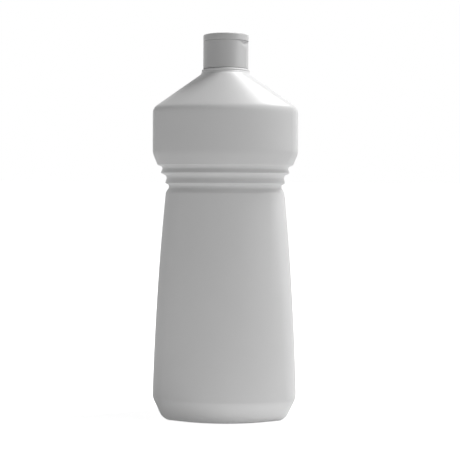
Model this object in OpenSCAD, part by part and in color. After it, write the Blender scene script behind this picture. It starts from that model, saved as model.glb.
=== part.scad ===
// One-litre blow-moulded bottle with a flip-top screw cap. The bottle stands upright on
// the two crescent feet of its base, centred on the Z axis, with its broad front towards -Y.

/* [Bottle body] */
// Width above the base chamfer
base_w = 97.7; // [90:0.1:106]
// Depth above the base chamfer
base_d = 65.5; // [58:0.5:70]
// Width at the top of the tapered body
waist_w = 80.7; // [76:0.1:88]
// Depth at the top of the tapered body
waist_d = 56.5; // [52:0.5:64]
// How far the tapered sides bow outwards at mid height
side_bow = 1.15; // [0:0.05:2.5]
// Width of the upper band
band_w = 99.2; // [92:0.1:108]
// Depth of the upper band
band_d = 66; // [60:0.5:74]
// Radius of the front and back of the tapered body
body_front_r = 78; // [65:1:110]
// Radius of the front and back of the band
band_front_r = 84; // [72:1:120]
// Radius of the four upright corners of the tapered body
body_corner_r = 17; // [14:0.5:22]
// Radius of the four upright corners of the band
band_corner_r = 9; // [6:0.5:14]
// Radius of the two narrow sides
side_r = 90; // [60:1:200]
// Wall thickness
wall = 1; // [0.8:0.1:1.6]

/* [Bottle heights] */
// Top of the base chamfer
chamfer_z = 12.6; // [9:0.2:18]
// How far the chamfer draws the base in
chamfer_in = 5.8; // [3:0.1:7]
// Top of the tapered body, where the first rib starts
taper_z = 153.5; // [140:0.5:165]
// Height of the lowest groove
groove_low_h = 6.7; // [5:0.1:9]
// Height of the middle groove
groove_mid_h = 6.8; // [5:0.1:9]
// Height of the top groove
groove_top_h = 5.5; // [4:0.1:9]
// Depth of the three grooves
groove_depth = 1.45; // [0.6:0.05:1.8]
// Height of the slope from the top rib out to the band
flare_h = 7.6; // [6:0.2:12]
// Height of the upright band
band_h = 27.9; // [20:0.5:40]
// Height of the rounding from the band to the shoulder
shoulder_round_h = 6.3; // [5:0.1:8]
// Height of the straight shoulder
shoulder_h = 19.1; // [17:0.1:24]

/* [Base] */
// Rise of the base's middle above the feet
push_up = 3; // [2:0.2:5]
// Width of the feet
foot_w = 2.6; // [2:0.1:4]
// Height of the feet below the front and back of the standing ring
foot_h = 0.3; // [0.3:0.1:1.2]
// Length of the pinch-off rib under the base
pinch_l = 52; // [40:1:60]

/* [Neck and thread] */
// Bore of the neck
neck_bore_d = 21; // [19:0.2:22]
// Outer diameter of the neck between its threads
neck_d = 25; // [24.6:0.1:25.4]
// Height of the neck above its collar
neck_h = 16.6; // [16:0.1:20]
// Diameter of the collar under the cap
collar_d = 33.4; // [32.6:0.1:34.4]
// Height of the collar
collar_h = 3.1; // [2.6:0.1:4]
// Thread pitch
pitch = 4.23; // [3.6:0.01:4.6]
// Height that the thread stands out
thread_t = 1.2; // [0.9:0.05:1.25]
// Turns of thread
thread_turns = 1.5; // [1:0.25:1.5]

/* [Cap] */
// Diameter of the cap
cap_d = 30.9; // [30.7:0.1:32]
// Thickness of the cap's deck
deck_t = 1.3; // [1.1:0.1:1.8]
// Gap between the skirt and the collar
skirt_gap = 0.4; // [0.3:0.1:0.8]
// Diameter of the pouring orifice
orifice_d = 5.2; // [4:0.1:6]
// Height of the drip ring around the orifice
drip_ring_h = 1.2; // [0.8:0.1:1.6]
// Direction of the thumb lip, in degrees to the right of the front
thumb_angle = 60; // [0:5:90]
// Depth of the finger recess
recess_depth = 1.1; // [0.6:0.1:1.3]
// Height of the finger recess
recess_h = 4; // [3:0.1:5]

/* [Lid] */
// Height of the lid
lid_h = 4.5; // [4:0.1:6]
// Wall of the lid
lid_wall = 1.1; // [0.9:0.1:1.4]
// How far the thumb lip stands out
lip_out = 0.65; // [0.3:0.05:1]
// How far the flat at the hinge is set into the cap
hinge_in = 0.75; // [0.6:0.05:1]
// Width of the hinge strap
strap_w = 8; // [6:0.5:9]
// Thickness of the hinge strap
strap_t = 0.35; // [0.3:0.05:0.5]

/* [Seal] */
// Thickness of the seal washer, as squeezed by the cap
washer_t = 0.98; // [0.8:0.02:1.5]

/* [Hidden] */
$fn = 96;
overlap = 0.3;
side_clear = 0.3;
seal_clear = 0.02;

// Heights that follow from the sizes above
foot_round_z = 2.6;
chamfer_round_h = 5.1;
taper_start_z = chamfer_z + chamfer_round_h;
rib_low_z = taper_z + groove_low_h;
rib_mid_z = rib_low_z + groove_mid_h;
rib_top_z = rib_mid_z + groove_top_h;
band_z = rib_top_z + flare_h;
band_top_z = band_z + band_h;
shoulder_z = band_top_z + shoulder_round_h;
shoulder_top_z = shoulder_z + shoulder_h;
collar_z = shoulder_top_z + 0.9;
collar_top_z = collar_z + collar_h;
neck_top_z = collar_top_z + neck_h;
skirt_z = collar_top_z + skirt_gap;
deck_z = neck_top_z + washer_t + seal_clear;
part_z = deck_z + deck_t;
lid_top_z = part_z + lid_h;

// Share of the way from the waist's outline to the band's at each rib
rib_mid_share = 0.333;
rib_top_share = 0.61;

// Radius of the shoulder's round top edge, just inside the collar
shoulder_top_r = collar_d / 2 + 1;

// Outlines. A point of an outline belongs to a direction, so that two outlines can be blended
// and an outline can be moved inwards by the same amount all round.
outline_points = 48;
directions = [for (i = [0:outline_points - 1]) 360 * i / outline_points];
function heading(a) = [cos(a), sin(a)];
function mix(p, q, share) = p + (q - p) * share;
function folded(a) = abs(a % 180 > 90 ? 180 - a % 180 : a % 180);

// Centre of a corner arc that touches both the side arc and the front arc
function corner_centre(half_w, half_d, front_r, corner_r) =
    let (p = [half_w - side_r, 0],
         q = [0, half_d - front_r],
         rp = side_r - corner_r,
         rq = front_r - corner_r,
         gap = norm(q - p),
         along = (rp * rp - rq * rq + gap * gap) / (2 * gap),
         across = sqrt(rp * rp - along * along),
         u = (q - p) / gap)
    p + along * u + across * [-u[1], u[0]];

// Point of a flattened oval where its surface faces the direction a
function oval_point(half_w, half_d, front_r, corner_r, a) =
    let (c = corner_centre(half_w, half_d, front_r, corner_r),
         side_end = atan2(c[1], c[0] - half_w + side_r),
         front_end = atan2(c[1] - half_d + front_r, c[0]),
         f = folded(a),
         quarter = f < side_end ? [half_w - side_r, 0] + side_r * heading(f)
                 : f > front_end ? [0, half_d - front_r] + front_r * heading(f)
                 : c + corner_r * heading(f))
    [quarter[0] * (a > 90 && a < 270 ? -1 : 1), quarter[1] * (a > 180 ? -1 : 1)];

function oval(w, d, front_r, corner_r) =
    [for (a = directions) oval_point(w / 2, d / 2, front_r, corner_r, a)];

base_oval = oval(base_w, base_d, body_front_r, body_corner_r);
waist_oval = oval(waist_w, waist_d, body_front_r, body_corner_r);
band_oval = oval(band_w, band_d, band_front_r, band_corner_r);
neck_round = [for (a = directions) shoulder_top_r * heading(a)];

// A row is [height, lower outline, upper outline, share of the upper one, inset, foot lift]
function row(z, p, q, share, inset, lift = 0) = [z, p, q, share, inset, lift];

foot_out = 8.6;
foot_in = foot_out + foot_w;
// How far the push-up's wall leans in on its way up
push_up_lean = 3;
base_rows = [
    row(push_up, base_oval, base_oval, 0, foot_in + push_up_lean),
    row(push_up / 3, base_oval, base_oval, 0, foot_in + push_up_lean / 3),
    row(0, base_oval, base_oval, 0, foot_in, 1),
    row(0, base_oval, base_oval, 0, foot_out, 1),
    row(foot_round_z * 0.28, base_oval, base_oval, 0, chamfer_in + 1.4, 0.3),
    row(foot_round_z, base_oval, base_oval, 0, chamfer_in),
    row(chamfer_z, base_oval, base_oval, 0, chamfer_in * 0.17),
    row(chamfer_z + chamfer_round_h * 0.45, base_oval, base_oval, 0, chamfer_in * 0.04)
];

// The tapered sides bow outwards as a parabola
taper_steps = 6;
taper_rows = [for (i = [0:taper_steps - 1])
    let (s = i / taper_steps)
    row(mix(taper_start_z, taper_z, s), base_oval, waist_oval, s, -4 * side_bow * s * (1 - s))];

// Each groove is one wave of a cosine between two ribs
groove_steps = 6;
function groove_rows(z, h, share, next_share) = [for (i = [0:groove_steps - 1])
    let (s = i / groove_steps)
    row(z + h * s, waist_oval, band_oval, mix(share, next_share, s),
        groove_depth * (1 - cos(360 * s)) / 2)];

flare_rows = [
    row(rib_top_z, waist_oval, band_oval, rib_top_share, 0),
    row(band_z - flare_h * 0.25, waist_oval, band_oval, 0.93, 0),
    row(band_z, waist_oval, band_oval, 0.995, 0)
];

// The edge between band and shoulder is a quarter wave, and the shoulder is straight
edge_share = 0.19;
edge_steps = 5;
edge_rows = [for (i = [0:edge_steps])
    let (s = i / edge_steps)
    row(band_top_z + shoulder_round_h * s, band_oval, neck_round, edge_share * pow(s, 2.1), 0)];
shoulder_rows = [for (s = [0.35, 0.7, 1])
    row(mix(shoulder_z, shoulder_top_z, s), band_oval, neck_round, mix(edge_share, 1, s), 0)];

rows = concat(base_rows, taper_rows,
    groove_rows(taper_z, groove_low_h, 0, 0),
    groove_rows(rib_low_z, groove_mid_h, 0, rib_mid_share),
    groove_rows(rib_mid_z, groove_top_h, rib_mid_share, rib_top_share),
    flare_rows, edge_rows, shoulder_rows);
last_row = len(rows) - 1;

// Point of the outline on its narrow side, for the slope of the wall at a row
function side_point(r) = [mix(r[1][0], r[2][0], r[3])[0] - r[4], r[0]];

// Inward normal of the wall at row i, times the wall: x is inset, y is rise
function wall_step(i) =
    let (before = side_point(rows[max(i - 1, 0)]),
         after = side_point(rows[min(i + 1, last_row)]),
         run = after - before,
         unit = i == 0 ? [1, 0] : run / norm(run))
    wall * [unit[1], unit[0]];

// The standing ring is lifted off the floor along the front and back
function lift_at(a) = foot_h * min(1, max(0, (folded(a) - 52) / 12));

function ring(r, inset, rise) = [for (k = [0:outline_points - 1])
    let (flat = mix(r[1][k], r[2][k], r[3]) - (r[4] + inset) * heading(directions[k]))
    [flat[0], flat[1], r[0] + rise + r[5] * lift_at(directions[k])]];

function band_faces(first, second) = [for (k = [0:outline_points - 1])
    let (n = (k + 1) % outline_points)
    each [[first + k, second + k, second + n], [first + k, second + n, first + n]]];

module blown_shell() {
    n = outline_points;
    count = len(rows);
    outer = [for (r = rows) each ring(r, 0, 0)];
    inner = [for (i = [0:last_row]) each ring(rows[i], wall_step(i)[0], wall_step(i)[1])];
    faces = concat(
        [for (i = [0:last_row - 1]) each band_faces(i * n, (i + 1) * n)],
        [for (i = [0:last_row - 1]) each band_faces((count + i + 1) * n, (count + i) * n)],
        band_faces(last_row * n, (count + last_row) * n),
        [[for (k = [0:n - 1]) k]],
        [[for (k = [0:n - 1]) count * n + n - 1 - k]]);
    polyhedron(points = concat(outer, inner), faces = faces, convexity = 6);
}

// A thread is a ridge of four-sided rings, faded out towards both ends
thread_step = 15;
thread_fade = 45;
function thread_height(a, whole) = min(1, a / thread_fade, (whole - a) / thread_fade);

// root_r is where the ridge leaves its wall, out is 1 on a neck and -1 in a cap
module thread_ridge(root_r, out, z, root_w, crest_w) {
    whole = thread_turns * 360;
    steps = whole / thread_step;
    buried = root_r - out * overlap;
    points = [for (i = [0:steps])
        let (a = i * thread_step,
             crest = root_r + out * max(0.12, thread_t * thread_height(a, whole)),
             h = z + pitch * a / 360)
        each [for (p = [[buried, -root_w / 2], [crest, -crest_w / 2],
                        [crest, crest_w / 2], [buried, root_w / 2]])
            [p[0] * cos(a), p[0] * sin(a), h + p[1]]]];
    skin = [for (i = [0:steps - 1]) each [for (k = [0:3])
        let (b = i * 4, n = (k + 1) % 4)
        each [[b + k, b + 4 + k, b + 4 + n], [b + k, b + 4 + n, b + n]]]];
    ends = [[0, 1, 2, 3], [for (k = [3:-1:0]) steps * 4 + k]];
    faces = concat(skin, ends);
    polyhedron(points = points,
        faces = out < 0 ? faces : [for (f = faces) [for (k = [len(f) - 1:-1:0]) f[k]]],
        convexity = 8);
}

thread_root_w = 2.2;
thread_crest_w = 1;
thread_top_gap = 3;
thread_z = neck_top_z - thread_top_gap - thread_turns * pitch;
// The cap's ridge lies under the neck's, so that turning the cap tight pulls it down
thread_drop = 1.5;

module neck() {
    bore = neck_bore_d / 2;
    neck_r = neck_d / 2;
    collar_r = collar_d / 2;
    // Inside, a funnel leads from the shoulder's wall up to the bore
    funnel_w = 1.3;
    funnel_h = 1.7;
    funnel_in = 3.3;
    rotate_extrude() polygon([
        [bore, neck_top_z - 0.4], [bore + 0.4, neck_top_z], [neck_r - 0.5, neck_top_z],
        [neck_r, neck_top_z - 0.5], [neck_r, collar_top_z],
        [collar_r - 1.3, collar_top_z], [collar_r - 0.5, collar_top_z - 0.4],
        [collar_r - 0.2, collar_top_z - 1.1], [collar_r - 0.45, collar_top_z - 1.8],
        [collar_r, collar_top_z - 2.4], [collar_r, collar_z + 0.2],
        [shoulder_top_r - 0.2, collar_z - 0.4], [shoulder_top_r + 1.2, shoulder_top_z - 1.2],
        [shoulder_top_r + 1, shoulder_top_z - 1.45], [shoulder_top_r - 1.5, shoulder_top_z - 1.1],
        [shoulder_top_r - funnel_in, shoulder_top_z], [bore + funnel_w, collar_z + funnel_h],
        [bore, collar_top_z + 0.8]]);
    thread_ridge(neck_r, 1, thread_z, thread_root_w, thread_crest_w);
}

// The line of weld that the mould leaves under the base
module pinch_off() {
    weld_w = 1;
    weld_h = 0.4;
    translate([-pinch_l / 2, -weld_w / 2, push_up - weld_h]) cube([pinch_l, weld_w, weld_h + wall / 2]);
}

module bottle() color("gainsboro") {
    blown_shell();
    neck();
    pinch_off();
}

cap_r = cap_d / 2;
cap_root_r = neck_d / 2 + thread_t + 0.45;
cap_seat_r = neck_d / 2 + 0.8;
seat_h = 2.4;
hinge_flat_y = cap_r - hinge_in;
hinge_y = hinge_flat_y + strap_t;
bead_clear = 0.05;
lid_top_t = 1.1;

// The cap, strap and lid are drawn with the thumb lip towards -Y and turned to their place
module at_thumb() rotate([0, 0, thumb_angle]) children();

module cap_shell() {
    edge = 0.3;
    orifice_r = orifice_d / 2;
    rotate_extrude() polygon([
        [orifice_r, deck_z], [cap_seat_r, deck_z], [cap_seat_r, deck_z - seat_h],
        [cap_root_r, deck_z - seat_h - 1], [cap_root_r, skirt_z], [cap_r - 0.2, skirt_z],
        [cap_r, skirt_z + 0.2], [cap_r, part_z - edge], [cap_r - edge, part_z],
        [orifice_r + 1.7, part_z], [orifice_r + 1.2, part_z + drip_ring_h],
        [orifice_r + 0.2, part_z + drip_ring_h], [orifice_r, part_z + drip_ring_h - 0.3]]);
}

// A level trough across the skirt, which leaves a crescent under the thumb lip
module finger_recess() {
    trough_r = (recess_h * recess_h + recess_depth * recess_depth) / (2 * recess_depth);
    translate([-cap_d, recess_depth - cap_r - trough_r, part_z])
        rotate([0, 90, 0]) cylinder(r = trough_r, h = 2 * cap_d);
}

// The ring on the deck that centres the lid
module lid_guide() {
    guide_r = cap_r - lid_wall - side_clear;
    guide_w = 0.9;
    guide_h = 0.9;
    rotate_extrude() polygon([
        [guide_r - guide_w, part_z - overlap], [guide_r, part_z - overlap],
        [guide_r, part_z + guide_h - 0.2], [guide_r - 0.2, part_z + guide_h],
        [guide_r - guide_w, part_z + guide_h]]);
}

// The flat behind which the strap lies, cut no lower than the thick top of the wall
module hinge_flat() {
    translate([-cap_r, hinge_flat_y, deck_z - seat_h]) cube([cap_d, cap_d, cap_d]);
}

// A fine upright rib below the recess
module skirt_rib() {
    rib_w = 1.2;
    rib_out = 0.25;
    margin = 0.4;
    translate([-rib_w / 2, -cap_r - rib_out, skirt_z + margin])
        cube([rib_w, 1, part_z - recess_h - skirt_z - 2 * margin]);
}

module cap() color("whitesmoke") at_thumb() {
    difference() {
        cap_shell();
        finger_recess();
        hinge_flat();
    }
    lid_guide();
    skirt_rib();
    thread_ridge(cap_root_r, -1, thread_z - thread_drop, thread_root_w - 0.4, thread_crest_w - 0.2);
}

module hinge_strap() color("whitesmoke") at_thumb() {
    strap_h = 3.3;
    translate([-strap_w / 2, hinge_flat_y, part_z - strap_h]) cube([strap_w, strap_t, strap_h]);
    translate([-strap_w / 2, hinge_y, part_z]) rotate([0, 90, 0]) cylinder(r = strap_t, h = strap_w);
}

module lid_shell(r) {
    round_r = 0.6;
    rotate_extrude() polygon(concat(
        [[r - lid_wall, part_z], [r - 0.3, part_z], [r, part_z + 0.3]],
        [for (a = [0:15:90]) [r - round_r + round_r * cos(a), lid_top_z - round_r + round_r * sin(a)]],
        [[0, lid_top_z], [0, lid_top_z - lid_top_t], [r - lid_wall - 0.4, lid_top_z - lid_top_t],
         [r - lid_wall, lid_top_z - lid_top_t - 0.4]]));
}

// The lip is a smaller round, set off towards the thumb
module thumb_lip() {
    smaller = 0.85;
    translate([0, -smaller - lip_out, 0]) lid_shell(cap_r - smaller);
}

module lid_hollow() {
    translate([0, 0, part_z - 1]) cylinder(r = cap_r - lid_wall, h = lid_h - lid_top_t + 1);
}

// The pin that closes the orifice
module plug_pin() {
    pin_clear = 0.12;
    pin_r = orifice_d / 2 - pin_clear;
    pin_wall = 0.8;
    pin_drop = 1.2;
    root_z = lid_top_z - lid_top_t / 2;
    rotate_extrude() polygon([
        [pin_r - pin_wall, root_z], [pin_r, root_z], [pin_r, part_z - pin_drop + 0.4],
        [pin_r - 0.4, part_z - pin_drop], [pin_r - pin_wall, part_z - pin_drop]]);
}

// The lid's back is cut flat at the hinge, with a groove for the strap's bead
module hinge_cut() {
    translate([-cap_r, hinge_y, part_z - 1]) cube([cap_d, cap_d, lid_h + 2]);
    translate([-cap_r, hinge_y, part_z]) rotate([0, 90, 0])
        cylinder(r = strap_t + bead_clear, h = cap_d);
}

module lid() color("whitesmoke") at_thumb() {
    difference() {
        lid_shell(cap_r);
        hinge_cut();
    }
    difference() {
        thumb_lip();
        lid_hollow();
    }
    plug_pin();
}

module seal_washer() color("ivory") {
    washer_out = cap_seat_r - side_clear;
    washer_in = neck_bore_d / 2 - 1;
    translate([0, 0, neck_top_z]) difference() {
        cylinder(r = washer_out, h = washer_t);
        translate([0, 0, -1]) cylinder(r = washer_in, h = washer_t + 2);
    }
}

bottle();
seal_washer();
cap();
hinge_strap();
lid();
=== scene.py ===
import math
import bpy
import numpy as np
from mathutils import Matrix, Vector


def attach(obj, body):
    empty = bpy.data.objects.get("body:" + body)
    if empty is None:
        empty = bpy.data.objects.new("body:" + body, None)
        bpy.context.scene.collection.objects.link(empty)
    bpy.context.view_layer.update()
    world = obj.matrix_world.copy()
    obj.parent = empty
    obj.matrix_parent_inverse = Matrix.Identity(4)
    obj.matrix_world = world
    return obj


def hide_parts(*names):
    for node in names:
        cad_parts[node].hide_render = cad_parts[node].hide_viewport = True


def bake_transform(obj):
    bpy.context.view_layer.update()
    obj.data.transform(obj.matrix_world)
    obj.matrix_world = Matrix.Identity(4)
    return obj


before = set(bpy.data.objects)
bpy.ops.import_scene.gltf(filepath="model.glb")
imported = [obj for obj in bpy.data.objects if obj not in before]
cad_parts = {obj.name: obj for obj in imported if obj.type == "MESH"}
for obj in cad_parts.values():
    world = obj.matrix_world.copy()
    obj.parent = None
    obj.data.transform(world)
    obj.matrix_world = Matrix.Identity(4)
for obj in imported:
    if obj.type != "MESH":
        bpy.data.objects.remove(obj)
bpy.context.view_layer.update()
mm = 0.001
print("frame loaded:", ", ".join(sorted(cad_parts)))


# Shared shapes

# A share of the way from first to second
def mixed(first, second, share):
    return first + (second - first) * share


# The unit vector of each angle
def heading(angles):
    return np.stack([np.cos(angles), np.sin(angles)], axis=-1)


# A flattened oval of tangent arcs: a wide arc front and back, a flat arc on each side and a small arc
# at each corner. Each point is the centre of its arc plus the arc's radius along its own direction.
# A corner's centre is where circles round the two neighbouring centres cross, because it lies from
# each of them by the difference of the radii.
def ovalOutline(width, depth, frontRadius, cornerRadius, sideRadius, angles):
    sideCentre = np.array([width / 2 - sideRadius, 0.0])
    frontCentre = np.array([0.0, depth / 2 - frontRadius])
    toSide, toFront = sideRadius - cornerRadius, frontRadius - cornerRadius
    apart = np.linalg.norm(frontCentre - sideCentre)
    along = (toSide ** 2 - toFront ** 2 + apart ** 2) / (2 * apart)
    across = math.sqrt(toSide ** 2 - along ** 2)
    unit = (frontCentre - sideCentre) / apart
    corner = sideCentre + along * unit + across * np.array([-unit[1], unit[0]])
    sideEnd = math.atan2(corner[1], corner[0] - sideCentre[0])
    frontEnd = math.atan2(corner[1] - frontCentre[1], corner[0])
    cosine, sine = np.cos(angles), np.sin(angles)
    folded = np.arctan2(np.abs(sine), np.abs(cosine))
    onSide, onFront = folded < sideEnd, folded > frontEnd
    centre = np.where(onFront[:, None], frontCentre, corner)
    centre = np.where(onSide[:, None], sideCentre, centre)
    radius = np.where(onSide, sideRadius, np.where(onFront, frontRadius, cornerRadius))
    quarter = centre + radius[:, None] * heading(folded)
    return quarter * np.stack([np.where(cosine < 0, -1, 1), np.where(sine < 0, -1, 1)], axis=-1)


# A path through keys whose corners are rounded. Each corner is a quadratic Bezier curve from a point
# before the key to a point after it, in bend steps, and the straight runs between corners are cut
# into equal steps. position gives the side view of a key, in which all lengths are measured.
def roundedPath(keys, rounds, position, bend, step):
    mostOfRun = 0.49  # of a run between keys, for one rounding
    flat = position(keys)
    lengths = np.linalg.norm(np.diff(flat, axis=0), axis=1)
    parts = []
    cursor = keys[0]
    for i in range(1, len(keys)):
        before = lengths[i - 1]
        cut = min(rounds[i], before * mostOfRun) if i < len(keys) - 1 else 0.0
        stop = mixed(keys[i], keys[i - 1], cut / before)
        run = np.linalg.norm(position(stop[None])[0] - position(cursor[None])[0])
        count = max(2, int(run / step) + 1)
        parts.append(cursor + (stop - cursor) * np.linspace(0, 1, count)[:-1, None])
        if i == len(keys) - 1:
            parts.append(keys[i][None])
            break
        after = min(rounds[i], lengths[i] * mostOfRun)
        leave = mixed(keys[i], keys[i + 1], after / lengths[i])
        if cut > 0:
            t = np.linspace(0, 1, bend)[:-1, None]
            parts.append((1 - t) ** 2 * stop + 2 * t * (1 - t) * keys[i] + t ** 2 * leave)
        cursor = leave
    return np.concatenate(parts)


# Faces of a grid that is closed round its second direction. The ends of its first direction meet
# each other on a ring, and are each closed by a single point on any other grid.
def gridFaces(rows, columns, ring=False):
    i, k = np.meshgrid(np.arange(rows if ring else rows - 1), np.arange(columns), indexing="ij")
    n, j = (k + 1) % columns, (i + 1) % rows
    quads = np.stack([i * columns + k, i * columns + n, j * columns + n, j * columns + k], axis=-1)
    faces = quads.reshape(-1, 4).tolist()
    if not ring:
        k = np.arange(columns)
        n = (k + 1) % columns
        first, last = rows * columns, rows * columns + 1
        faces += np.stack([n, k, np.full(columns, first)], axis=-1).tolist()
        end = (rows - 1) * columns
        faces += np.stack([end + k, end + n, np.full(columns, last)], axis=-1).tolist()
    return faces


# Six times the volume inside a closed mesh: the sum of the box products of its triangles. It is
# less than nothing where the faces point inwards.
def signedVolume(points, faces):
    triangles = np.array([[f[0], f[j], f[j + 1]] for f in faces for j in range(1, len(f) - 1)])
    a, b, c = (points[triangles[:, j]] for j in range(3))
    return float(np.einsum("ij,ij->i", a, np.cross(b, c)).sum())


# A piece of the part in millimetres, with smooth faces and with edges steeper than sharp kept crisp
def newPiece(name, points, faces, body, material, sharp=35):
    points = np.asarray(points, float)
    if signedVolume(points, faces) < 0:
        faces = [f[::-1] for f in faces]
    mesh = bpy.data.meshes.new(name)
    mesh.from_pydata((points * mm).tolist(), [], faces)
    mesh.polygons.foreach_set("use_smooth", np.ones(len(mesh.polygons), bool))
    mesh.set_sharp_from_angle(angle=math.radians(sharp))
    mesh.materials.append(material)
    mesh.update()
    piece = bpy.data.objects.new(name, mesh)
    bpy.context.scene.collection.objects.link(piece)
    if body:
        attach(piece, body)
    return piece


# The points of a closed surface: its rings, then the middles of the first and the last ring
def withPoles(rings):
    poles = np.stack([rings[0].mean(axis=0), rings[-1].mean(axis=0)])
    return np.concatenate([rings.reshape(-1, 3), poles])


# Shared finishes

# Sockets of a node group, by name and kind of value
def addSockets(group, way, names):
    for name, kind in names.items():
        group.interface.new_socket(name=name, in_out=way, socket_type="NodeSocket" + kind)


# A node at its place in the tree, with its settings
def placed(tree, kind, x, y, **values):
    made = tree.nodes.new(kind)
    made.location = (x, y)
    for key, value in values.items():
        setattr(made, key, value)
    return made


# Moulded plastic: a fine grain, a slow cloud of lighter and darker patches, and sparse rubbed spots,
# each from one noise. Grain is a height, Cloud a value round 1 for the colour, Rub a mask for gloss.

skinForm = {"grainDetail": 3.0, "grainRoughness": 0.6, "cloudDetail": 4.0,
            "rubScale": 60.0, "rubDetail": 6.0, "rubRoughness": 0.7, "rubFrom": 0.58, "rubTo": 0.75}


def makeMouldedSkin(form):
    group = bpy.data.node_groups.new("mouldedSkin", "ShaderNodeTree")
    addSockets(group, "INPUT", {"Coordinates": "Vector", "Grain Scale": "Float",
                                "Cloud Scale": "Float", "Cloud Depth": "Float"})
    addSockets(group, "OUTPUT", {"Grain": "Float", "Cloud": "Float", "Rub": "Float"})
    given = placed(group, "NodeGroupInput", -900, 0)
    result = placed(group, "NodeGroupOutput", 600, 0)
    link = group.links.new
    fine = placed(group, "ShaderNodeTexNoise", -600, 300)
    fine.inputs["Detail"].default_value = form["grainDetail"]
    fine.inputs["Roughness"].default_value = form["grainRoughness"]
    link(given.outputs["Coordinates"], fine.inputs["Vector"])
    link(given.outputs["Grain Scale"], fine.inputs["Scale"])
    slow = placed(group, "ShaderNodeTexNoise", -600, 0)
    slow.inputs["Detail"].default_value = form["cloudDetail"]
    link(given.outputs["Coordinates"], slow.inputs["Vector"])
    link(given.outputs["Cloud Scale"], slow.inputs["Scale"])
    centred = placed(group, "ShaderNodeMath", -350, 0, operation="SUBTRACT")
    centred.inputs[1].default_value = 0.5
    link(slow.outputs["Fac"], centred.inputs[0])
    scaled = placed(group, "ShaderNodeMath", -150, 0, operation="MULTIPLY")
    link(centred.outputs[0], scaled.inputs[0])
    link(given.outputs["Cloud Depth"], scaled.inputs[1])
    around = placed(group, "ShaderNodeMath", 50, 0, operation="ADD")
    around.inputs[1].default_value = 1.0
    link(scaled.outputs[0], around.inputs[0])
    spots = placed(group, "ShaderNodeTexNoise", -600, -300)
    spots.inputs["Scale"].default_value = form["rubScale"]
    spots.inputs["Detail"].default_value = form["rubDetail"]
    spots.inputs["Roughness"].default_value = form["rubRoughness"]
    link(given.outputs["Coordinates"], spots.inputs["Vector"])
    rub = placed(group, "ShaderNodeMapRange", -250, -300)
    rub.inputs["From Min"].default_value = form["rubFrom"]
    rub.inputs["From Max"].default_value = form["rubTo"]
    link(spots.outputs["Fac"], rub.inputs["Value"])
    link(fine.outputs["Fac"], result.inputs["Grain"])
    link(around.outputs[0], result.inputs["Cloud"])
    link(rub.outputs["Result"], result.inputs["Rub"])
    return group


mouldedSkin = makeMouldedSkin(skinForm)


# A seam where two halves of a mould met: a soft mask along the plane where Distance is zero
def makeMouldSeam():
    group = bpy.data.node_groups.new("mouldSeam", "ShaderNodeTree")
    addSockets(group, "INPUT", {"Distance": "Float", "Width": "Float"})
    addSockets(group, "OUTPUT", {"Seam": "Float"})
    given = placed(group, "NodeGroupInput", -600, 0)
    result = placed(group, "NodeGroupOutput", 400, 0)
    away = placed(group, "ShaderNodeMath", -400, 0, operation="ABSOLUTE")
    ratio = placed(group, "ShaderNodeMath", -200, 0, operation="DIVIDE")
    mask = placed(group, "ShaderNodeMapRange", 50, 0, interpolation_type="SMOOTHSTEP")
    mask.inputs["From Min"].default_value = 1.0
    mask.inputs["From Max"].default_value = 0.0
    group.links.new(given.outputs["Distance"], away.inputs[0])
    group.links.new(away.outputs[0], ratio.inputs[0])
    group.links.new(given.outputs["Width"], ratio.inputs[1])
    group.links.new(ratio.outputs[0], mask.inputs["Value"])
    group.links.new(mask.outputs["Result"], result.inputs["Seam"])
    return group


mouldSeam = makeMouldSeam()


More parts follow.
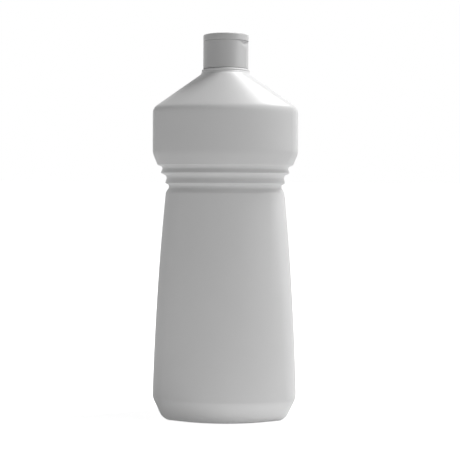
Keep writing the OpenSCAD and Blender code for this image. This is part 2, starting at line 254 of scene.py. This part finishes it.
# One moulded plastic: look holds its colour, gloss, grain and, where it has one, its seam
def mouldedPlastic(name, look):
    material = bpy.data.materials.new(name)
    material.use_nodes = True
    tree = material.node_tree
    link = tree.links.new
    shader = tree.nodes["Principled BSDF"]
    shader.inputs["IOR"].default_value = look["ior"]
    place = placed(tree, "ShaderNodeTexCoord", -1300, 0)
    skin = placed(tree, "ShaderNodeGroup", -1000, 0, node_tree=mouldedSkin)
    skin.inputs["Grain Scale"].default_value = look["grainScale"]
    skin.inputs["Cloud Scale"].default_value = look["cloudScale"]
    skin.inputs["Cloud Depth"].default_value = look["cloudDepth"]
    link(place.outputs["Object"], skin.inputs["Coordinates"])
    tint = placed(tree, "ShaderNodeMix", -600, 300, data_type="RGBA", blend_type="MULTIPLY")
    tint.inputs["Factor"].default_value = 1.0
    tint.inputs["A"].default_value = (*look["colour"], 1.0)
    link(skin.outputs["Cloud"], tint.inputs["B"])
    link(tint.outputs["Result"], shader.inputs["Base Color"])
    gloss = placed(tree, "ShaderNodeMapRange", -600, 0)
    gloss.inputs["To Min"].default_value = look["roughness"]
    gloss.inputs["To Max"].default_value = look["rubbedRoughness"]
    link(skin.outputs["Rub"], gloss.inputs["Value"])
    link(gloss.outputs["Result"], shader.inputs["Roughness"])
    height = placed(tree, "ShaderNodeMath", -600, -250, operation="MULTIPLY")
    height.inputs[1].default_value = look["grainDepth"]
    link(skin.outputs["Grain"], height.inputs[0])
    total = height.outputs[0]
    if "seamDepth" in look:
        axes = placed(tree, "ShaderNodeSeparateXYZ", -1000, -400)
        seam = placed(tree, "ShaderNodeGroup", -800, -450, node_tree=mouldSeam)
        seam.inputs["Width"].default_value = look["seamWidth"]
        rise = placed(tree, "ShaderNodeMath", -600, -450, operation="MULTIPLY")
        rise.inputs[1].default_value = look["seamDepth"]
        added = placed(tree, "ShaderNodeMath", -400, -350, operation="ADD")
        link(place.outputs["Object"], axes.inputs["Vector"])
        link(axes.outputs["Y"], seam.inputs["Distance"])
        link(seam.outputs["Seam"], rise.inputs[0])
        link(height.outputs[0], added.inputs[0])
        link(rise.outputs[0], added.inputs[1])
        total = added.outputs[0]
    bump = placed(tree, "ShaderNodeBump", -200, -250)
    bump.inputs["Distance"].default_value = mm
    bump.inputs["Strength"].default_value = look["bump"]
    link(total, bump.inputs["Height"])
    link(bump.outputs["Normal"], shader.inputs["Normal"])
    return material


bottleLook = {"colour": (0.72, 0.72, 0.72), "roughness": 0.42, "rubbedRoughness": 0.36, "ior": 1.5,
              "grainScale": 2600.0, "grainDepth": 0.10, "cloudScale": 24.0, "cloudDepth": 0.05,
              "bump": 0.5, "seamWidth": 0.00025, "seamDepth": 0.06}  # width in metres, depths in mm
# The cap's colour is painted shade: the cap is the same white as the bottle, but its colour is set darker
# to show how much less light reaches it. The lid, strap and cap thread share it.
capLook = {"colour": (0.57, 0.57, 0.57), "roughness": 0.33, "rubbedRoughness": 0.28, "ior": 1.49,
           "grainScale": 1800.0, "grainDepth": 0.03, "cloudScale": 60.0, "cloudDepth": 0.02,
           "bump": 0.4}
foamLook = {"colour": (0.80, 0.79, 0.76), "roughness": 0.85, "rubbedRoughness": 0.75, "ior": 1.4,
            "grainScale": 900.0, "grainDepth": 0.30, "cloudScale": 150.0, "cloudDepth": 0.08,
            "bump": 0.8}
bottlePlastic = mouldedPlastic("bottleWhitePolyethylene", bottleLook)
capPlastic = mouldedPlastic("capWhitePolypropylene", capLook)
washerFoam = mouldedPlastic("washerFoam", foamLook)
print("finishes made")


# The blown bottle, in millimetres as in the part. base holds the height, inset and rounding of each
# corner of the base. groove holds, for each of its corners, the share of the way to the next height
# in ribs, the inset and the rounding.

bottleForm = {
    "baseWidth": 97.7, "baseDepth": 65.5, "waistWidth": 80.7, "waistDepth": 56.5,
    "bandWidth": 99.2, "bandDepth": 66.0, "bodyFront": 78.0, "bandFront": 84.0,
    "bodyCorner": 17.0, "bandCorner": 9.0, "side": 90.0, "bow": 1.15, "wall": 1.0,
    "footLift": 0.3, "footFrom": 52.0, "footFade": 12.0, "footHeight": 2.6, "footInner": 11.2,
    "pushUp": 3.0, "pushUpRun": 3.0, "pushUpRounding": 1.0, "footRounding": 0.8, "middle": 0.02,
    "base": ((0.0, 9.0, 1.2), (2.4, 5.85, 1.6), (14.64, 0.0, 3.1)),
    "crestInset": -0.2, "crestRounding": 1.0, "bandRounding": 2.4, "shoulderRounding": 3.2,
    "topRadius": 17.7, "collarRadius": 16.7, "neckRadius": 12.5, "boreRadius": 10.5,
    "bandBottom": 180.1, "shoulderBase": 210.2, "shoulderTop": 233.4, "collarBase": 234.3,
    "collarTop": 237.4, "neckTop": 254.0, "taperStart": 17.7,
    "ribs": (153.5, 160.2, 167.0, 172.5), "ribShares": (0.0, 0.0, 0.333, 0.61),
    "groove": ((0.46, 1.9, 0.8), (0.7, 1.8, 0.7), (0.89, -0.5, 0.5), (1.0, -0.45, 0.5)),
    "columns": 192, "bend": 6, "step": 3.2,
}


# Every ring is a blend of the two outlines below and above it, moved inwards by the key's inset and
# then scaled. The taper bows outwards as a parabola, and the front and back of the standing ring lie
# higher than its two feet, at the left and right.
def makeBottle(form):
    angles = np.linspace(0, 2 * np.pi, form["columns"], endpoint=False)
    outward = heading(angles)
    topRadius = form["topRadius"]
    bodyArcs = form["bodyFront"], form["bodyCorner"], form["side"]
    bandArcs = form["bandFront"], form["bandCorner"], form["side"]
    outlines = np.stack([
        ovalOutline(form["baseWidth"], form["baseDepth"], *bodyArcs, angles),
        ovalOutline(form["waistWidth"], form["waistDepth"], *bodyArcs, angles),
        ovalOutline(form["bandWidth"], form["bandDepth"], *bandArcs, angles),
        topRadius * outward])
    halfWidths = outlines[:, 0, 0]

    # A key is (height, place in the row of outlines, inset, share of the ring's size)
    def sideView(keys):
        halfWidth = np.interp(keys[:, 1], range(len(outlines)), halfWidths)
        return np.stack([(halfWidth - keys[:, 2]) * keys[:, 3], keys[:, 0]], axis=-1)

    def rings(path, wall):
        low = np.clip(np.floor(path[:, 1]), 0, len(outlines) - 2).astype(int)
        share = path[:, 1] - low
        taper = np.clip(path[:, 1], 0, 1)
        bow = 4 * form["bow"] * taper * (1 - taper)
        flat = mixed(outlines[low], outlines[low + 1], share[:, None, None])
        flat = (flat - (path[:, 2] - bow)[:, None, None] * outward) * path[:, 3][:, None, None]
        folded = np.degrees(np.arctan2(np.abs(outward[:, 1]), np.abs(outward[:, 0])))
        lifted = form["footLift"] * np.clip((folded - form["footFrom"]) / form["footFade"], 0, 1)
        near = np.clip(1 - (path[:, 0] - wall) / form["footHeight"], 0, 1)
        height = path[:, 0][:, None] + near[:, None] * lifted
        return np.concatenate([flat, height[:, :, None]], axis=-1)

    def key(z, outline, inset=0.0, rounding=0.0, size=1.0):
        return (z, outline, inset, size, rounding)

    pushUpInset = form["footInner"] + form["pushUpRun"]
    body = [key(form["pushUp"], 0, pushUpInset, size=form["middle"]),
            key(form["pushUp"], 0, pushUpInset, form["pushUpRounding"]),
            key(0, 0, form["footInner"], form["footRounding"])]
    body += [key(z, 0, inset, rounding) for z, inset, rounding in form["base"]]
    body += [key(form["taperStart"], 0), key(form["ribs"][0], 1, form["crestInset"], form["crestRounding"])]
    for i in range(len(form["ribs"]) - 1):
        for part, inset, rounding in form["groove"]:
            z = mixed(form["ribs"][i], form["ribs"][i + 1], part)
            widened = mixed(form["ribShares"][i], form["ribShares"][i + 1], part)
            body.append(key(z, 1 + widened, inset, rounding))
    body += [key(form["bandBottom"], 2, 0, form["bandRounding"]),
             key(form["shoulderBase"], 2, 0, form["shoulderRounding"]),
             key(form["shoulderTop"], 3)]
    outerKeys = np.array(body)

    # The inner wall runs parallel: each key moves along the mean of its two runs' normals
    side = sideView(outerKeys)
    runs = np.diff(side, axis=0)
    runs /= np.linalg.norm(runs, axis=1)[:, None]
    normals = np.stack([-runs[:, 1], runs[:, 0]], axis=-1)
    first, second = np.vstack([normals[:1], normals]), np.vstack([normals, normals[-1:]])
    offset = form["wall"] * (first + second) / (1 + np.sum(first * second, axis=1))[:, None]
    innerKeys = outerKeys.copy()
    innerKeys[:, 2] -= offset[:, 0]
    innerKeys[:, 0] += offset[:, 1]
    innerKeys[0, 2] = outerKeys[0, 2]
    innerKeys = innerKeys[:-1]

    def neckKey(radius, z, rounding=0.0):
        return key(z, 3, topRadius - radius, rounding)

    # From the shoulder over the bead of the collar and the rim of the neck down into the bore
    collar, neck, bore = form["collarRadius"], form["neckRadius"], form["boreRadius"]
    collarBase, collarTop, neckTop = form["collarBase"], form["collarTop"], form["neckTop"]
    neckKeys = np.array([
        neckKey(collar + 1.1, form["shoulderTop"] - 0.1, 0.6), neckKey(collar, collarBase + 0.2, 0.3),
        neckKey(collar, collarTop - 2.4, 0.2), neckKey(collar - 0.45, collarTop - 1.8, 0.25),
        neckKey(collar - 0.2, collarTop - 1.1, 0.25), neckKey(collar - 0.5, collarTop - 0.4, 0.25),
        neckKey(collar - 1.3, collarTop, 0.2), neckKey(neck, collarTop, 0.25),
        neckKey(neck, neckTop - 0.5, 0.2), neckKey(neck - 0.5, neckTop, 0.2),
        neckKey(bore + 0.4, neckTop, 0.2), neckKey(bore, neckTop - 0.4, 0.2),
        neckKey(bore, collarTop + 0.8, 0.6), neckKey(bore + 1.3, collarBase + 1.7, 1.0),
        neckKey(collar - 2.3, form["shoulderTop"], 0.8)])
    keys = np.vstack([outerKeys[:-1], neckKeys, innerKeys[::-1]])
    path = roundedPath(keys[:, :4], keys[:, 4], sideView, form["bend"], form["step"])
    atWall = np.arange(len(path)) > np.argmax(path[:, 0])
    surface = rings(path, np.where(atWall, form["wall"], 0.0))
    faces = gridFaces(len(surface), form["columns"])
    bottle = newPiece("bottleShell", withPoles(surface), faces,
                      "bottle", bottlePlastic)
    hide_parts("bottle")
    print("bottle:", len(path), "rings,", 2 * len(faces), "triangles at most")


# The line of weld left under the base: a low bar with round ends, made of ever larger rounds from its
# foot up. Each point is an end of the bar's spine plus the ring's radius along its own direction.

weldForm = {"length": 52.0, "width": 1.0, "bottom": 2.6, "top": 3.2, "rounding": 0.2,
            "columns": 48, "steps": 6}


def makeWeld(form):
    turn = np.linspace(0, np.pi / 2, form["steps"])
    rounding = form["rounding"]
    half = form["width"] / 2
    radius = np.append(half - rounding * (1 - np.sin(turn)), half)
    height = np.append(form["bottom"] + rounding * (1 - np.cos(turn)), form["top"])
    angles = np.linspace(0, 2 * np.pi, form["columns"], endpoint=False) + np.pi / form["columns"]
    end = (form["length"] / 2 - half) * np.sign(np.cos(angles))
    spine = np.stack([end, np.zeros_like(end)], axis=-1)
    flat = spine + radius[:, None, None] * heading(angles)
    height = np.broadcast_to(height[:, None, None], flat.shape[:2] + (1,))
    rings = np.concatenate([flat, height], axis=-1)
    faces = gridFaces(len(rings), form["columns"])
    newPiece("pinchOffWeld", withPoles(rings), faces, "bottle", bottlePlastic)


makeBottle(bottleForm)
makeWeld(weldForm)


# A thread: a ridge whose section of six points turns and climbs evenly, by one pitch a turn. Two of
# the points lie inside the wall. It rises from almost nothing at one end and runs out at the other.

threadForm = {"pitch": 4.23, "turns": 1.5, "height": 1.2, "start": 244.655, "drop": 1.5,
              "fade": 45.0, "least": 0.1, "sunk": 0.3, "rounding": 0.22, "flare": 0.1, "step": 4.0}


def makeThread(name, rootRadius, out, start, rootWidth, crestWidth, turnedBy, body, material):
    form = threadForm
    whole = form["turns"] * 360
    turned = np.arange(0, whole + 1, form["step"])
    fade = np.clip(np.minimum(turned, whole - turned) / form["fade"], form["least"], 1)
    crest = rootRadius + out * form["height"] * fade
    buried = np.full_like(crest, rootRadius - out * form["sunk"])
    rounding = form["rounding"] * crestWidth
    edge = crest - out * rounding * fade
    radii = np.stack([buried, edge, crest, crest, edge, buried], axis=-1)
    half = crestWidth / 2
    rises = np.array([-rootWidth / 2, -half - form["flare"], -half + rounding,
                      half - rounding, half + form["flare"], rootWidth / 2])
    angle = np.radians(turned + turnedBy)[:, None]
    climb = start + form["pitch"] * turned[:, None] / 360 + rises
    rings = np.stack([radii * np.cos(angle), radii * np.sin(angle), climb], axis=-1)
    faces = gridFaces(len(rings), rings.shape[1])
    newPiece(name, withPoles(rings), faces, body, material, sharp=60)


makeThread("neckThread", bottleForm["neckRadius"], 1, threadForm["start"], 2.2, 1.0, 0.0,
           "bottle", bottlePlastic)


# The screw cap, its lid and the strap between them. Directions are measured from the thumb side,
# which is thumbAngle degrees from the front, towards the right.

capForm = {
    "radius": 15.45, "root": 14.15, "rootTop": 245.0, "skirtBottom": 237.6,
    "deckBottom": 255.0, "deckTop": 256.3, "seat": 13.3, "seatHeight": 2.4, "seatChamfer": 1.0,
    "orifice": 2.6, "dripHeight": 1.2, "dripWall": 1.2, "dripFlare": 0.5,
    "guide": 14.05, "guideHeight": 0.9, "guideWall": 0.9, "hingeFlat": 14.7,
    "recessDepth": 0.9, "recessHeight": 4.0, "ribCrest": 0.3, "ribFoot": 0.7, "ribOut": 0.25,
    "changeFrom": 14.2, "thumbAngle": 60.0, "columns": 360,
}


# The lesser of two lengths, with the corner where they cross rounded off by about a quarter of blend
def smoothLess(first, second, blend):
    share = np.clip(0.5 + (second - first) / (2 * blend), 0, 1)
    return second + (first - second) * share - blend * share * (1 - share)


# 0 below low, 1 above high, and between them three times the share squared less twice its cube
def softStep(low, high, value):
    share = np.clip((value - low) / (high - low), 0, 1)
    return share * share * (3 - 2 * share)


# Rings round the Z axis from the radius and height of each ring in each direction, in their place
def turnedRings(radius, height, angles):
    turn = angles + math.radians(capForm["thumbAngle"] - 90)
    radius, height, turn = np.broadcast_arrays(radius, height, turn)
    return np.stack([radius * np.cos(turn), radius * np.sin(turn), height], axis=-1)


# A section from its corners and their roundings. A ring runs back to its first corner.
def sectionPath(points, rounds, ring, step):
    keys = np.array(points + points[:1] if ring else points, float)
    path = roundedPath(keys, rounds + rounds[:1], lambda flat: flat, bend=7, step=step)
    return path[:-1] if ring else path


# The cosine of each direction, kept clear of zero. A flat face is met at its distance over this.
def facing(angles):
    return np.maximum(np.cos(angles), 0.2)


# How much of a change to the outline reaches each ring: all of it outside, none from inner inwards
def outerShare(radius, inner, outer):
    return np.clip((radius - inner) / (outer - inner), 0, 1)


# The outside of the skirt is the least of the cap's radius, a level round trough on the thumb side
# and a flat on the hinge side, with a fine upright rib added below the trough
def makeCap(form):
    top, bottom, deck, orifice = form["deckTop"], form["skirtBottom"], form["deckBottom"], form["orifice"]
    outside, root, seat, guide = form["radius"], form["root"], form["seat"], form["guide"]
    flatBottom = deck - form["seatHeight"]
    guideIn, guideTop = guide - form["guideWall"], top + form["guideHeight"]
    dripOut, dripTop = orifice + form["dripWall"], top + form["dripHeight"]
    points = [
        (root, form["rootTop"]), (root, bottom), (outside, bottom), (outside, flatBottom),
        (outside, top), (guide, top), (guide, guideTop), (guideIn, guideTop), (guideIn, top),
        (dripOut + form["dripFlare"], top), (dripOut, dripTop), (orifice, dripTop), (orifice, deck),
        (seat, deck), (seat, flatBottom), (root, flatBottom - form["seatChamfer"])]
    rounds = [0.0, 0.25, 0.3, 0.0, 0.45, 0.15, 0.2, 0.25, 0.3, 0.3, 0.3, 0.3, 0.25, 0.3, 0.3, 0.3]
    path = sectionPath(points, rounds, True, step=0.7)
    angles = np.linspace(0, 2 * np.pi, form["columns"], endpoint=False)
    radius, height = path[:, 0][:, None], path[:, 1][:, None]

    recess, depth = form["recessHeight"], form["recessDepth"]
    down = np.clip(top - height, 0, recess)
    troughRadius = (recess ** 2 + depth ** 2) / (2 * depth)
    trough = outside - depth + troughRadius - np.sqrt(troughRadius ** 2 - down ** 2)
    limit = smoothLess(outside, trough / facing(angles), 0.12)
    flat = form["hingeFlat"] / facing(angles + np.pi)
    cut = softStep(flatBottom - 0.05, flatBottom + 0.15, height)
    limit = mixed(limit, smoothLess(limit, flat, 0.05), cut)

    aside = np.abs(outside * np.sin(angles))
    rib = (np.cos(angles) > 0) * (1 - softStep(form["ribCrest"], form["ribFoot"], aside))
    ribTop = top - recess - 0.4
    rib = rib * softStep(bottom + 0.3, bottom + 0.6, height) * (1 - softStep(ribTop - 0.4, ribTop, height))
    change = (limit - outside + form["ribOut"] * rib) * outerShare(radius, form["changeFrom"], outside)
    rings = turnedRings(radius + change, height, angles)
    faces = gridFaces(len(rings), form["columns"], ring=True)
    cap = newPiece("capShell", rings.reshape(-1, 3), faces, "cap", capPlastic, sharp=30)
    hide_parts("cap")
    makeThread("capThread", root, -1, threadForm["start"] - threadForm["drop"], 1.8, 0.8,
               form["thumbAngle"], "cap", capPlastic)
    print("cap:", len(rings), "rings,", 2 * len(faces), "triangles at most")


lidForm = {
    "radius": 15.45, "bottom": 256.3, "top": 260.8, "wall": 1.1, "topThickness": 1.1, "edge": 0.78,
    "lipOut": 0.4, "lipSmaller": 0.85, "pin": 2.48, "pinWall": 0.8, "pinDrop": 1.2,
    "hingeAxis": 15.05, "groove": 0.4, "columns": 360,
}


# The lid's outside is the greater of its own circle and the lip's circle, which is smaller and set
# off to the thumb side. It is cut flat at the hinge, with a round groove at the axis.
def makeLid(form):
    top, bottom, outside, pin = form["top"], form["bottom"], form["radius"], form["pin"]
    ceiling, inside = top - form["topThickness"], outside - form["wall"]
    pinIn, pinEnd = pin - form["pinWall"], bottom - form["pinDrop"]
    middle = 0.02  # the radius that the pole closes
    points = [
        (middle, top), (outside, top), (outside, bottom + 1.0), (outside, bottom),
        (inside, bottom), (inside, ceiling), (pin, ceiling), (pin, pinEnd), (pinIn, pinEnd),
        (pinIn, ceiling), (middle, ceiling)]
    rounds = [0.0, form["edge"], 0.0, 0.35, 0.15, 0.5, 0.3, 0.4, 0.15, 0.3, 0.0]
    path = sectionPath(points, rounds, False, step=0.5)
    angles = np.linspace(0, 2 * np.pi, form["columns"], endpoint=False)
    radius, height = path[:, 0][:, None], path[:, 1][:, None]
    offset = form["lipSmaller"] + form["lipOut"]
    lipRadius = outside - form["lipSmaller"]
    lip = offset * np.cos(angles) + np.sqrt(lipRadius ** 2 - (offset * np.sin(angles)) ** 2)
    outline = -smoothLess(-outside, -lip, 0.15)
    groove = np.sqrt(np.maximum(form["groove"] ** 2 - (height - bottom) ** 2, 0))
    flat = (form["hingeAxis"] - groove) / facing(angles + np.pi)
    reach = radius + (outline - outside) * outerShare(radius, inside, outside)
    rings = turnedRings(smoothLess(reach, flat, 0.03), height, angles)
    faces = gridFaces(len(rings), form["columns"])
    lid = newPiece("lidShell", withPoles(rings), faces, "lid", capPlastic, sharp=30)
    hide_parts("lid")
    print("lid:", len(rings), "rings,", 2 * len(faces), "triangles at most")


strapForm = {"width": 8.0, "thickness": 0.35, "height": 3.3, "inset": 14.7, "top": 256.3,
             "endRounding": 0.08, "endShare": 0.7, "bend": 0.4, "steps": 10}


# The film between cap and lid: one closed section, swept level across the hinge side and drawn
# together a little at its ends.
def makeStrap(form):
    y, z, low = form["inset"], form["top"], form["top"] - form["height"]
    axis = y + form["thickness"]
    points = [
        (y - 0.03, low), (axis - 0.1, low + 0.1), (axis, z - 2.4), (axis, z - 0.6),
        (axis + 0.32, z), (axis + 0.16, z + 0.6), (axis + 0.14, z + 1.9), (axis - 0.03, z + 2.6),
        (axis - 0.04, z + 0.7), (axis + 0.05, z), (y - 0.02, z - 0.5)]
    rounds = [0.1, 0.1, 0.3, 0.3, 0.3, 0.3, 0.3, 0.0, 0.3, 0.2, 0.2]
    section = sectionPath(points, rounds, True, step=0.25)
    half, shoulder = form["width"] / 2, form["width"] / 2 - form["endRounding"]
    between = np.linspace(-half + 0.3, half - 0.3, form["steps"])
    across = np.concatenate([[-half, -shoulder], between, [shoulder, half]])
    narrow = np.where(np.abs(across) > shoulder + 0.01, form["endShare"], 1.0)[:, None, None]
    middle = section.mean(axis=0)
    flat = middle + (section - middle) * narrow
    turn = math.radians(capForm["thumbAngle"])
    x = np.broadcast_to(across[:, None], flat.shape[:2])
    rings = np.stack([x * math.cos(turn) - flat[..., 0] * math.sin(turn),
                      x * math.sin(turn) + flat[..., 0] * math.cos(turn), flat[..., 1]], axis=-1)
    faces = gridFaces(len(rings), rings.shape[1])
    strap = newPiece("hingeStrap", withPoles(rings), faces, None, capPlastic, sharp=50)
    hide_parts("hinge_strap")
    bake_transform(strap)


washerForm = {"inner": 9.5, "outer": 13.0, "bottom": 254.0, "thickness": 0.98, "edge": 0.2, "columns": 96}


# A ring of foam: a rounded rectangle carried round the axis
def makeWasher(form):
    bottom, top = form["bottom"], form["bottom"] + form["thickness"]
    inner, outer = form["inner"], form["outer"]
    points = [(inner, bottom), (outer, bottom), (outer, top), (inner, top)]
    path = sectionPath(points, [form["edge"]] * 4, True, step=1.0)
    angles = np.linspace(0, 2 * np.pi, form["columns"], endpoint=False)
    rings = turnedRings(path[:, 0][:, None], path[:, 1][:, None], angles)
    faces = gridFaces(len(rings), form["columns"], ring=True)
    washer = newPiece("sealWasher", rings.reshape(-1, 3), faces, "washer", washerFoam)
    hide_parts("seal_washer")


makeCap(capForm)
makeLid(lidForm)
makeStrap(strapForm)
makeWasher(washerForm)
print("closure made")


# The stage, in metres unless a note says otherwise

# A pale floor: the camera sees it glow, less near the bottle than far off, and everything else gets
# a faint light from it.

floorForm = {"size": 40.0, "colour": (0.93, 0.93, 0.93), "roughness": 0.9, "near": 0.12, "far": 0.6,
             "shownNear": 0.8, "shownFar": 1.0, "glow": 0.13}


def makeFloor(form):
    size = form["size"]
    mesh = bpy.data.meshes.new("floor")
    corners = [(-size, -size, 0), (size, -size, 0), (size, size, 0), (-size, size, 0)]
    mesh.from_pydata(corners, [], [(0, 1, 2, 3)])
    floor = bpy.data.objects.new("floor", mesh)
    bpy.context.scene.collection.objects.link(floor)
    material = bpy.data.materials.new("paleFloor")
    material.use_nodes = True
    tree = material.node_tree
    shader = tree.nodes["Principled BSDF"]
    shader.inputs["Base Color"].default_value = (*form["colour"], 1)
    shader.inputs["Roughness"].default_value = form["roughness"]
    shader.inputs["Specular IOR Level"].default_value = 0.0
    shader.inputs["Emission Color"].default_value = (1, 1, 1, 1)
    place = placed(tree, "ShaderNodeTexCoord", -1000, -200)
    away = placed(tree, "ShaderNodeVectorMath", -800, -200, operation="LENGTH")
    lift = placed(tree, "ShaderNodeMapRange", -600, -200)
    lift.inputs["From Min"].default_value = form["near"]
    lift.inputs["From Max"].default_value = form["far"]
    lift.inputs["To Min"].default_value = form["shownNear"]
    lift.inputs["To Max"].default_value = form["shownFar"]
    path = placed(tree, "ShaderNodeLightPath", -600, 0)
    shown = placed(tree, "ShaderNodeMath", -300, 0, operation="MULTIPLY")
    tree.links.new(place.outputs["Object"], away.inputs[0])
    tree.links.new(away.outputs["Value"], lift.inputs["Value"])
    tree.links.new(lift.outputs["Result"], shown.inputs[1])
    tree.links.new(path.outputs["Is Camera Ray"], shown.inputs[0])
    glow = placed(tree, "ShaderNodeMath", -150, 0, operation="MAXIMUM")
    glow.inputs[1].default_value = form["glow"]
    tree.links.new(shown.outputs[0], glow.inputs[0])
    tree.links.new(glow.outputs[0], shader.inputs["Emission Strength"])
    mesh.materials.append(material)


# The sky: camera, mirrored and transmitted rays see it at full brightness. As a light it fades from
# the horizon to the zenith.

skyForm = {"horizon": 0.26, "zenith": 0.14, "shown": 1.0}


def makeWorld(form):
    world = bpy.data.worlds.new("studio")
    bpy.context.scene.world = world
    world.use_nodes = True
    tree = world.node_tree
    link = tree.links.new
    background = tree.nodes["Background"]
    path = placed(tree, "ShaderNodeLightPath", -900, 0)
    seen = placed(tree, "ShaderNodeMath", -650, 100, operation="MAXIMUM")
    shownAll = placed(tree, "ShaderNodeMath", -450, 0, operation="MAXIMUM")
    link(path.outputs["Is Camera Ray"], seen.inputs[0])
    link(path.outputs["Is Transmission Ray"], seen.inputs[1])
    link(seen.outputs[0], shownAll.inputs[0])
    link(path.outputs["Is Glossy Ray"], shownAll.inputs[1])
    way = placed(tree, "ShaderNodeTexCoord", -900, -300)
    axes = placed(tree, "ShaderNodeSeparateXYZ", -700, -300)
    sky = placed(tree, "ShaderNodeMapRange", -500, -300)
    sky.inputs["To Min"].default_value = form["horizon"]
    sky.inputs["To Max"].default_value = form["zenith"]
    level = placed(tree, "ShaderNodeMapRange", -200, 0)
    level.inputs["To Max"].default_value = form["shown"]
    link(way.outputs["Generated"], axes.inputs["Vector"])
    link(axes.outputs["Z"], sky.inputs["Value"])
    link(sky.outputs["Result"], level.inputs["To Min"])
    link(shownAll.outputs[0], level.inputs["Value"])
    link(level.outputs["Result"], background.inputs["Strength"])
    background.inputs["Color"].default_value = (1, 1, 1, 1)


# Square lamps that look at the bottle's axis at height target. An azimuth of 0 is at the front and
# 90 at the right.

keyForm = {"azimuth": 101.0, "elevation": 64.0, "distance": 1.3, "size": 0.25, "strength": 13.2,
           "target": 0.13}
fillForm = {"azimuth": 72.0, "elevation": 20.0, "distance": 0.9, "size": 0.5, "strength": 1.35,
            "target": 0.1}


def makeLamp(name, form):
    lamp = bpy.data.lights.new(name, "AREA")
    lamp.shape = "SQUARE"
    lamp.size = form["size"]
    lamp.energy = form["strength"]
    a, e = math.radians(form["azimuth"]), math.radians(form["elevation"])
    away = Vector((math.sin(a) * math.cos(e), -math.cos(a) * math.cos(e), math.sin(e)))
    made = bpy.data.objects.new(name, lamp)
    made.location = Vector((0, 0, form["target"])) + away * form["distance"]
    made.rotation_euler = (-away).to_track_quat("-Z", "Y").to_euler()
    bpy.context.scene.collection.objects.link(made)


# The camera looks level at the bottle's axis from a little to the right and leans a little, and its
# shifts put the axis and the horizon where the photo has them. Lengths are in millimetres, perPixel
# is what a pixel of the photo spans at the axis, and frame is the photo's width in pixels.

cameraForm = {"distance": 705.0, "height": 162.5, "azimuth": 0.35, "lean": 0.26, "perPixel": 0.685,
              "frame": 460, "axisPixel": 225.26, "horizonPixel": 179.0, "sensor": 36.0}


def makeCamera(form):
    data = bpy.data.cameras.new("camera")
    data.sensor_width = form["sensor"]
    data.lens = form["distance"] / form["perPixel"] * form["sensor"] / form["frame"]
    data.shift_x = 0.5 - form["axisPixel"] / form["frame"]
    data.shift_y = form["horizonPixel"] / form["frame"] - 0.5
    azimuth = math.radians(form["azimuth"])
    camera = bpy.data.objects.new("camera", data)
    away = Vector((math.sin(azimuth), -math.cos(azimuth), 0)) * form["distance"]
    camera.location = (away + Vector((0, 0, form["height"]))) * mm
    lean = Matrix.Rotation(-math.radians(form["lean"]), 3, "Y")
    level = Matrix.Rotation(math.radians(90), 3, "X")
    camera.rotation_euler = (Matrix.Rotation(azimuth, 3, "Z") @ lean @ level).to_euler()
    bpy.context.scene.collection.objects.link(camera)
    bpy.context.scene.camera = camera


makeFloor(floorForm)
makeWorld(skyForm)
makeLamp("keyLamp", keyForm)
makeLamp("lowFillLamp", fillForm)
makeCamera(cameraForm)
bpy.context.scene.view_settings.view_transform = "Standard"
print("stage set")
